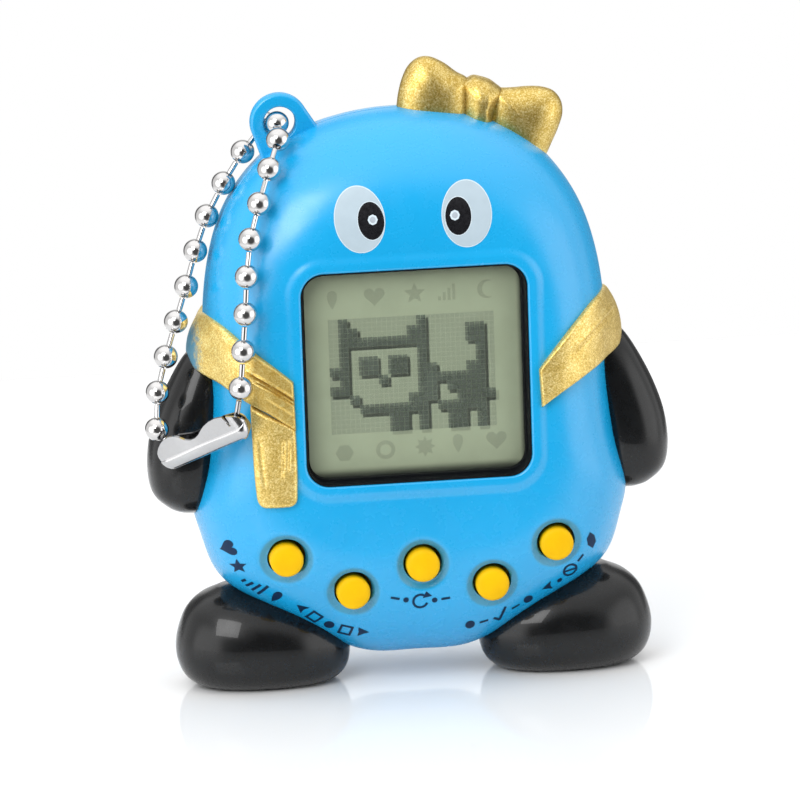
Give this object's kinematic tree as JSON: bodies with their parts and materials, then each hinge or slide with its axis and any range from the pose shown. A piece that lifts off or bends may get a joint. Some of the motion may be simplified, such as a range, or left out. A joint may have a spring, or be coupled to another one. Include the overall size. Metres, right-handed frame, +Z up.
{
  "type": "virtual pet keychain",
  "caption": "Penguin-shaped handheld virtual pet with a square LCD, five push buttons, flippers, feet, a gold bow and scarf, and a bead chain on an ear ring.",
  "frame": {"origin": "on the surface the toy stands on, between its feet, at the middle of the whole object with its hanging chain", "axes": "+Z up, -Y out of the display, +X to the viewer's right"},
  "size_m": [0.0558, 0.0242, 0.0666],
  "materials": {
    "blue_shell": "glossy moulded ABS",
    "gold_paint": "metallic gold paint on moulded plastic",
    "black_gloss": "glossy",
    "black_matte": "matt",
    "yellow_silicone": "satin silicone",
    "chrome_chain": "bright nickel plate",
    "steel": "plain",
    "brass": "plain",
    "clear_window": "clear acrylic",
    "lcd_film": "satin film",
    "lcd_glass": "glass",
    "reflector_film": "satin film",
    "grey_silicone": "matt silicone",
    "zebra_rubber": "matt",
    "circuit_board": "solder resist",
    "black_epoxy": "glossy epoxy"
  },
  "bodies": {
    "case": {"back_shell": "blue_shell", "bow": "gold_paint", "buzzer_disc": "brass", "capacitor": "black_epoxy", "case_screw_lower_left": "steel", "case_screw_lower_right": "steel", "case_screw_upper_left": "steel", "case_screw_upper_right": "steel", "cell_left": "steel", "cell_right": "steel", "chip_blob": "black_epoxy", "clock_crystal": "steel", "contact_negative": "steel", "contact_positive": "steel", "display_window": "clear_window", "front_shell": "blue_shell", "keypad_mat": "grey_silicone", "lcd_frame": "black_matte", "lcd_front_polariser": "lcd_film", "lcd_glass_cell": "lcd_glass", "lcd_rear_reflector": "reflector_film", "left_flipper": "black_gloss", "left_foot": "black_gloss", "main_board": "circuit_board", "right_flipper": "black_gloss", "right_foot": "black_gloss", "scarf_back_band": "gold_paint", "scarf_left_band": "gold_paint", "scarf_right_band": "gold_paint", "scarf_tail": "gold_paint", "zebra_connector": "zebra_rubber"},
    "door": {"battery_door": "blue_shell", "door_screw": "steel", "contact_bridge": "steel"},
    "key_outer_left": {"button_outer_left": "yellow_silicone"},
    "key_inner_left": {"button_inner_left": "yellow_silicone"},
    "key_centre": {"button_centre": "yellow_silicone"},
    "key_inner_right": {"button_inner_right": "yellow_silicone"},
    "key_outer_right": {"button_outer_right": "yellow_silicone"},
    "chain_top": {"chain_front_bead_0": "chrome_chain", "chain_side_bead_0": "chrome_chain", "chain_front_bead_1": "chrome_chain", "chain_side_bead_1": "chrome_chain"},
    "chain_row_2": {"chain_front_bead_2": "chrome_chain", "chain_side_bead_2": "chrome_chain"},
    "chain_row_3": {"chain_front_bead_3": "chrome_chain", "chain_side_bead_3": "chrome_chain"},
    "chain_row_4": {"chain_front_bead_4": "chrome_chain", "chain_side_bead_4": "chrome_chain"},
    "chain_row_5": {"chain_front_bead_5": "chrome_chain", "chain_side_bead_5": "chrome_chain"},
    "chain_row_6": {"chain_front_bead_6": "chrome_chain", "chain_side_bead_6": "chrome_chain"},
    "chain_row_7": {"chain_front_bead_7": "chrome_chain", "chain_side_bead_7": "chrome_chain"},
    "chain_row_8": {"chain_front_bead_8": "chrome_chain", "chain_side_bead_8": "chrome_chain"},
    "chain_end": {"chain_side_bead_9": "chrome_chain", "chain_connector": "chrome_chain"}
  },
  "joints": [
    {"name": "press_outer_left", "type": "slide", "parent": "case", "child": "key_outer_left", "axis": [0, 1, 0], "range_m": [0, 0.0008], "stiffness_N_per_m": 600, "springref_m": -0.0004},
    {"name": "press_inner_left", "type": "slide", "parent": "case", "child": "key_inner_left", "axis": [0, 1, 0], "range_m": [0, 0.0008], "stiffness_N_per_m": 600, "springref_m": -0.0004},
    {"name": "press_centre", "type": "slide", "parent": "case", "child": "key_centre", "axis": [0, 1, 0], "range_m": [0, 0.0008], "stiffness_N_per_m": 600, "springref_m": -0.0004},
    {"name": "press_inner_right", "type": "slide", "parent": "case", "child": "key_inner_right", "axis": [0, 1, 0], "range_m": [0, 0.0008], "stiffness_N_per_m": 600, "springref_m": -0.0004},
    {"name": "press_outer_right", "type": "slide", "parent": "case", "child": "key_outer_right", "axis": [0, 1, 0], "range_m": [0, 0.0008], "stiffness_N_per_m": 600, "springref_m": -0.0004},
    {"name": "door_lift_off", "type": "slide", "parent": "case", "child": "door", "axis": [0, 1, 0], "range_m": [0, 0.02]},
    {"name": "chain_swing", "type": "hinge", "parent": "case", "child": "chain_top", "pos_m": [-0.01226, 0.0019, 0.0598], "axis": [0, 1, 0], "range_deg": [0, 35]},
    {"name": "chain_bend_1", "type": "hinge", "parent": "chain_top", "child": "chain_row_2", "pos_m": [-0.01452, 0.00086, 0.05779], "axis": [-0.4133, 0.8571, -0.3074], "range_deg": [0, 28]},
    {"name": "chain_bend_2", "type": "hinge", "parent": "chain_row_2", "child": "chain_row_3", "pos_m": [-0.01625, -0.00082, 0.05498], "axis": [-0.4191, 0.8591, -0.2937], "range_deg": [0, 28]},
    {"name": "chain_bend_3", "type": "hinge", "parent": "chain_row_3", "child": "chain_row_4", "pos_m": [-0.01789, -0.00202, 0.05175], "axis": [-0.4401, 0.8577, -0.266], "range_deg": [0, 28]},
    {"name": "chain_bend_4", "type": "hinge", "parent": "chain_row_4", "child": "chain_row_5", "pos_m": [-0.01919, -0.00318, 0.04832], "axis": [-0.4485, 0.8559, -0.2574], "range_deg": [0, 28]},
    {"name": "chain_bend_5", "type": "hinge", "parent": "chain_row_5", "child": "chain_row_6", "pos_m": [-0.02008, -0.00422, 0.04474], "axis": [-0.4961, 0.835, -0.238], "range_deg": [0, 28]},
    {"name": "chain_bend_6", "type": "hinge", "parent": "chain_row_6", "child": "chain_row_7", "pos_m": [-0.02092, -0.00514, 0.04114], "axis": [-0.5804, 0.7879, -0.2057], "range_deg": [0, 28]},
    {"name": "chain_bend_7", "type": "hinge", "parent": "chain_row_7", "child": "chain_row_8", "pos_m": [-0.02178, -0.006, 0.03754], "axis": [-0.6651, 0.7266, -0.1723], "range_deg": [0, 28]},
    {"name": "chain_bend_8", "type": "hinge", "parent": "chain_row_8", "child": "chain_end", "pos_m": [-0.02255, -0.00687, 0.03393], "axis": [-0.7479, 0.649, -0.1397], "range_deg": [0, 28]}
  ]
}
